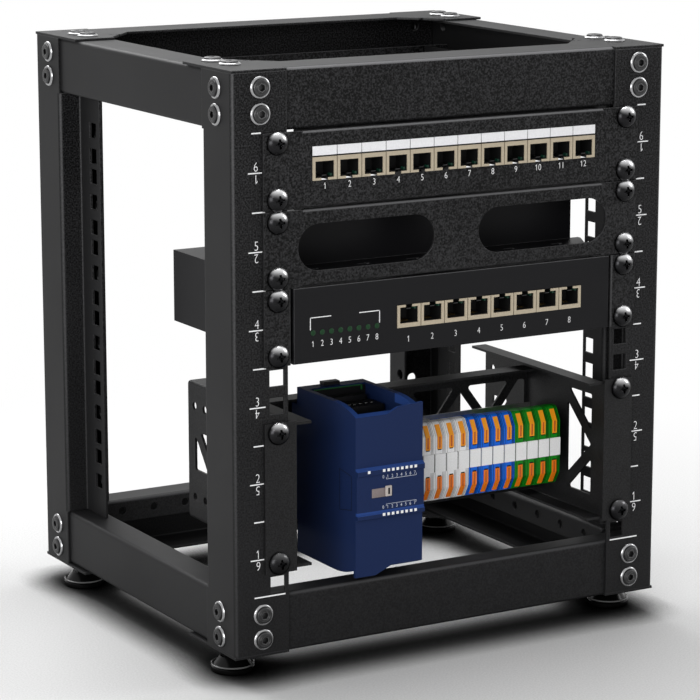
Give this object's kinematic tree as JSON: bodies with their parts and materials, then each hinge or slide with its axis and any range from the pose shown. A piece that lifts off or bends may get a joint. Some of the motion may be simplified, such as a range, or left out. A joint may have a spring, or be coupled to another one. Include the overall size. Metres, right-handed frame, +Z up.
{
  "type": "open-frame equipment rack",
  "caption": "Open-frame desktop equipment rack of folded sheet steel, with patch and slot panels, a network switch, a rail bracket with a control module and terminal blocks, on levelling feet.",
  "frame": {"origin": "on the floor under the middle of the frame", "axes": "+Z up, the equipment faces -Y, +X to the right of someone facing the rack"},
  "size_m": [0.292, 0.2627, 0.3523],
  "materials": {
    "frame_black": "fine textured powder coat, satin black",
    "foot_black": "moulded black nylon, slightly glossy",
    "panel_black": "fine textured powder coat, satin black",
    "housing_black": "smooth satin black paint",
    "jack_beige": "moulded beige plastic with dark mouths",
    "label_white": "matte white label strip",
    "lamp_green": "clear green lamp lens",
    "bracket_black": "fine textured powder coat, satin black",
    "rail_zinc": "zinc plated steel",
    "module_blue": "matte moulded dark blue plastic",
    "block_grey": "matte moulded light grey plastic",
    "block_blue": "matte moulded blue plastic",
    "block_green": "matte moulded green plastic",
    "lever_orange": "moulded orange levers, slightly glossy",
    "tag_white": "matte white marker tags"
  },
  "bodies": {
    "root": {"post_front_left": "frame_black", "post_front_right": "frame_black", "post_rear_left": "frame_black", "post_rear_right": "frame_black", "top_beam_front": "frame_black", "top_beam_rear": "frame_black", "bottom_beam_front": "frame_black", "bottom_beam_rear": "frame_black", "top_beam_left": "frame_black", "top_beam_right": "frame_black", "bottom_beam_left": "frame_black", "bottom_beam_right": "frame_black", "foot_front_left": "foot_black", "foot_front_right": "foot_black", "foot_rear_left": "foot_black", "foot_rear_right": "foot_black", "patch_panel": "panel_black", "slot_panel": "panel_black", "cable_tray": "panel_black", "switch_housing": "housing_black", "switch_ears": "housing_black", "patch_jacks": "jack_beige", "switch_jacks": "jack_beige", "patch_labels": "label_white", "switch_lamps": "lamp_green", "din_arm_left": "bracket_black", "din_arm_right": "bracket_black", "din_back_plate": "bracket_black", "din_rail": "rail_zinc", "control_module": "module_blue", "module_clip": "foot_black", "terminals_grey": "block_grey", "terminals_blue": "block_blue", "terminals_green": "block_green", "terminal_levers": "lever_orange", "terminal_tags": "tag_white"}
  },
  "joints": []
}
